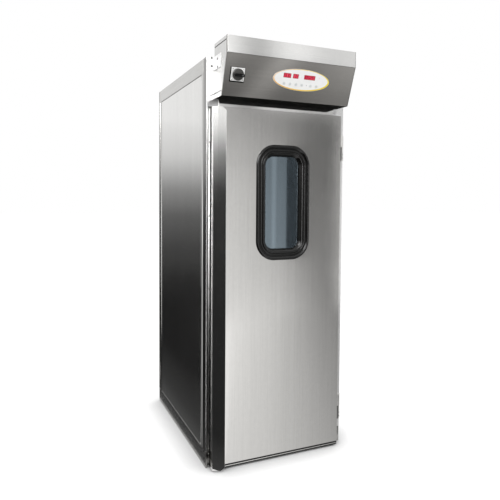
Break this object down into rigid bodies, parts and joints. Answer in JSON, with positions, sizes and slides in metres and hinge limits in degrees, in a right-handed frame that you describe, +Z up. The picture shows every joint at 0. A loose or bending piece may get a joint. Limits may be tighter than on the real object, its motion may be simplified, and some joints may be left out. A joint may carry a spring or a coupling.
{
  "type": "proofing cabinet",
  "caption": "Tall stainless steel roll-in cabinet with an insulated hinged door, a rubber-framed window, a full-height pull and a sloping control box across the top.",
  "frame": {"origin": "centre of the cabinet body's footprint, on the floor", "axes": "+Z up, -Y towards the front (the door), +X towards the hinged side of the door"},
  "size_m": [0.81, 1.167, 2.165],
  "materials": {
    "brushed_stainless": "satin, fine vertical grain",
    "bright_stainless": "bright cold-rolled sheet",
    "galvanised_steel": "dull galvanised",
    "insulation_foam": "rigid foam",
    "black_rubber": "smooth extruded rubber",
    "window_glass": "clear",
    "black_plastic": "moulded, satin",
    "white_membrane": "printed film, satin",
    "pale_button": "satin",
    "red_lens": "clear red lens",
    "circuit_board": "lacquered board",
    "grey_plastic": "moulded",
    "white_plastic": "frosted diffuser"
  },
  "bodies": {
    "cabinet": {"floor_plate": "bright_stainless", "plinth_left": "brushed_stainless", "plinth_right": "brushed_stainless", "front_post_left": "brushed_stainless", "front_post_right": "brushed_stainless", "rear_post_left": "brushed_stainless", "rear_post_right": "brushed_stainless", "top_rail_left": "brushed_stainless", "top_rail_right": "brushed_stainless", "front_header": "brushed_stainless", "side_panel_left": "brushed_stainless", "side_panel_right": "brushed_stainless", "rear_panel": "brushed_stainless", "roof_panel": "brushed_stainless", "roof_insulation": "insulation_foam", "roof_liner": "bright_stainless", "chamber_liner": "bright_stainless", "wall_insulation": "insulation_foam", "ceiling_panel": "bright_stainless", "control_box_shell": "brushed_stainless", "control_fascia": "brushed_stainless", "control_box_end_left": "brushed_stainless", "control_box_end_right": "brushed_stainless", "box_bracket_left": "brushed_stainless", "box_bracket_right": "brushed_stainless", "keypad_panel": "white_membrane", "display_window_1": "red_lens", "display_window_2": "red_lens", "display_window_3": "red_lens", "control_board": "circuit_board", "contactor": "grey_plastic", "main_switch_body": "grey_plastic", "main_switch_plate": "bright_stainless", "cable_gland": "black_plastic", "fan_motor": "grey_plastic", "heater_element": "bright_stainless", "steam_boiler": "bright_stainless", "temperature_probe": "bright_stainless", "chamber_lamp": "white_plastic", "hinge_frame_leaf_lower": "brushed_stainless", "hinge_frame_leaf_upper": "brushed_stainless"},
    "door": {"door_skin": "brushed_stainless", "door_core": "insulation_foam", "door_liner": "brushed_stainless", "door_gasket": "black_rubber", "door_sweep": "black_rubber", "door_pull": "brushed_stainless", "window_gasket": "black_rubber", "window_glass_outer": "window_glass", "window_glass_inner": "window_glass", "hinge_door_leaf_lower": "brushed_stainless", "hinge_door_leaf_upper": "brushed_stainless"},
    "switch_knob": {"main_switch_knob": "black_plastic"},
    "fan": {"fan_wheel": "galvanised_steel"},
    "button_1": {"keypad_button_1": "pale_button"},
    "button_2": {"keypad_button_2": "pale_button"},
    "button_3": {"keypad_button_3": "pale_button"},
    "button_4": {"keypad_button_4": "pale_button"},
    "button_5": {"keypad_button_5": "pale_button"},
    "button_6": {"keypad_button_6": "pale_button"}
  },
  "joints": [
    {"name": "door_hinge", "type": "hinge", "parent": "cabinet", "child": "door", "pos_m": [0.377, -0.5108, 0], "axis": [0, 0, 1], "range_deg": [0, 120]},
    {"name": "main_switch_turn", "type": "hinge", "parent": "cabinet", "child": "switch_knob", "pos_m": [-0.2965, -0.63871, 1.99175], "axis": [0, -0.9373, -0.3484], "range_deg": [-90, 0]},
    {"name": "fan_spin", "type": "hinge", "parent": "cabinet", "child": "fan", "pos_m": [0, -0.005, 1.9], "axis": [0, 0, 1], "continuous": true},
    {"name": "keypad_button_1_press", "type": "slide", "parent": "cabinet", "child": "button_1", "axis": [0, 0.9373, 0.3484], "range_m": [0, 0.001], "stiffness_N_per_m": 400},
    {"name": "keypad_button_2_press", "type": "slide", "parent": "cabinet", "child": "button_2", "axis": [0, 0.9373, 0.3484], "range_m": [0, 0.001], "stiffness_N_per_m": 400},
    {"name": "keypad_button_3_press", "type": "slide", "parent": "cabinet", "child": "button_3", "axis": [0, 0.9373, 0.3484], "range_m": [0, 0.001], "stiffness_N_per_m": 400},
    {"name": "keypad_button_4_press", "type": "slide", "parent": "cabinet", "child": "button_4", "axis": [0, 0.9373, 0.3484], "range_m": [0, 0.001], "stiffness_N_per_m": 400},
    {"name": "keypad_button_5_press", "type": "slide", "parent": "cabinet", "child": "button_5", "axis": [0, 0.9373, 0.3484], "range_m": [0, 0.001], "stiffness_N_per_m": 400},
    {"name": "keypad_button_6_press", "type": "slide", "parent": "cabinet", "child": "button_6", "axis": [0, 0.9373, 0.3484], "range_m": [0, 0.001], "stiffness_N_per_m": 400}
  ]
}
